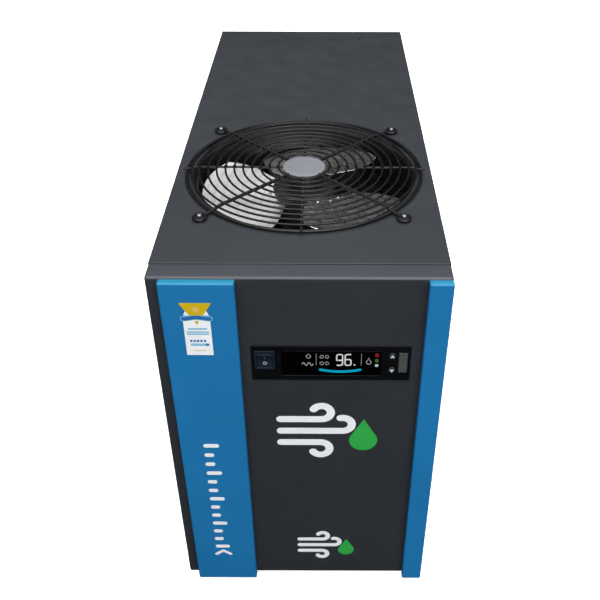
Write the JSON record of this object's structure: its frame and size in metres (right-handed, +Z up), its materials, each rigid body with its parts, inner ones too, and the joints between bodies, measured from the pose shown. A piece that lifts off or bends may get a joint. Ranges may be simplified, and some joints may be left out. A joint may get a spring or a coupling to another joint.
{
  "type": "refrigerated air dryer",
  "caption": "Cabinet refrigerated compressed-air dryer with blue trim strips, digital control panel, guarded top fan, rear air couplings and visible refrigeration parts inside.",
  "frame": {"origin": "middle of the footprint at floor level, where the rubber feet rest", "axes": "+Z up, the front with the control panel faces -Y, +X to the right seen from the front"},
  "size_m": [0.41, 1.049, 0.6744],
  "materials": {
    "dark_powder_coat": "fine-textured powder coat, semi-matt",
    "blue_paint": "smooth satin paint",
    "black_plastic": "fine spark-eroded texture",
    "screen_gloss": "gloss black window",
    "key_grey": "satin grey plastic",
    "label_grey": "ribbed dark grey plastic",
    "guard_black": "gloss black dip coat on steel wire",
    "bright_steel": "bright zinc plate",
    "galvanised_steel": "galvanised sheet",
    "fan_aluminium": "rolled aluminium sheet",
    "motor_grey": "grey enamel",
    "fin_aluminium": "mill-finish fins",
    "compressor_black": "semi-gloss black enamel",
    "copper": "drawn copper",
    "brass": "turned brass",
    "foam_black": "closed-cell foam cladding",
    "rubber": "moulded rubber",
    "board_green": "solder-masked circuit board",
    "red_plastic": "dipped vinyl"
  },
  "bodies": {
    "cabinet": {"air_inlet_coupling": "brass", "air_inlet_pipe": "copper", "air_outlet_coupling": "brass", "air_outlet_pipe": "copper", "base_pan": "galvanised_steel", "capillary_tube": "copper", "compressor_base_plate": "compressor_black", "compressor_shell": "compressor_black", "compressor_terminal_cover": "black_plastic", "condenser_core": "fin_aluminium", "condenser_end_plate_front": "galvanised_steel", "condenser_end_plate_rear": "galvanised_steel", "contactor": "black_plastic", "control_bezel": "black_plastic", "control_board": "board_green", "discharge_pipe": "copper", "display_window": "screen_gloss", "divider_panel": "galvanised_steel", "drain_outlet": "brass", "drain_shutoff_valve": "brass", "drain_solenoid_valve": "brass", "drain_tube": "black_plastic", "electrical_box": "galvanised_steel", "exchanger_stand_front": "galvanised_steel", "exchanger_stand_rear": "galvanised_steel", "fan_guard_cage": "guard_black", "fan_guard_frame": "guard_black", "fan_motor_stator": "motor_grey", "fan_shroud": "guard_black", "filter_drier": "copper", "foot_front_left": "rubber", "foot_front_right": "rubber", "foot_rear_left": "rubber", "foot_rear_right": "rubber", "front_panel": "dark_powder_coat", "guard_screw_135": "bright_steel", "guard_screw_225": "bright_steel", "guard_screw_315": "bright_steel", "guard_screw_45": "bright_steel", "heat_exchanger": "foam_black", "left_side_panel": "dark_powder_coat", "left_trim_strip": "blue_paint", "liquid_pipe": "copper", "moisture_separator": "compressor_black", "power_cable_gland": "black_plastic", "rear_panel": "dark_powder_coat", "right_side_panel": "dark_powder_coat", "right_trim_strip": "blue_paint", "run_capacitor": "key_grey", "service_port_cover": "label_grey", "suction_pipe": "copper", "switch_frame": "black_plastic", "top_panel": "dark_powder_coat"},
    "impeller": {"fan_impeller": "fan_aluminium"},
    "rocker": {"rocker_paddle": "black_plastic"},
    "up_key": {"up_button": "key_grey"},
    "down_key": {"down_button": "key_grey"},
    "drain_lever": {"drain_valve_lever": "red_plastic"}
  },
  "joints": [
    {"name": "fan_spin", "type": "hinge", "parent": "cabinet", "child": "impeller", "pos_m": [0, -0.2155, 0.6115], "axis": [0, 0, 1], "continuous": true},
    {"name": "power_rocker", "type": "hinge", "parent": "cabinet", "child": "rocker", "pos_m": [-0.051, -0.513, 0.5195], "axis": [1, 0, 0], "range_deg": [-18, 0]},
    {"name": "up_button_press", "type": "slide", "parent": "cabinet", "child": "up_key", "axis": [0, 1, 0], "range_m": [0, 0.001], "stiffness_N_per_m": 400},
    {"name": "down_button_press", "type": "slide", "parent": "cabinet", "child": "down_key", "axis": [0, 1, 0], "range_m": [0, 0.001], "stiffness_N_per_m": 400},
    {"name": "drain_valve_turn", "type": "hinge", "parent": "cabinet", "child": "drain_lever", "pos_m": [-0.12, 0.4214, 0.1916], "axis": [0, 1, 0], "range_deg": [0, 90]}
  ]
}
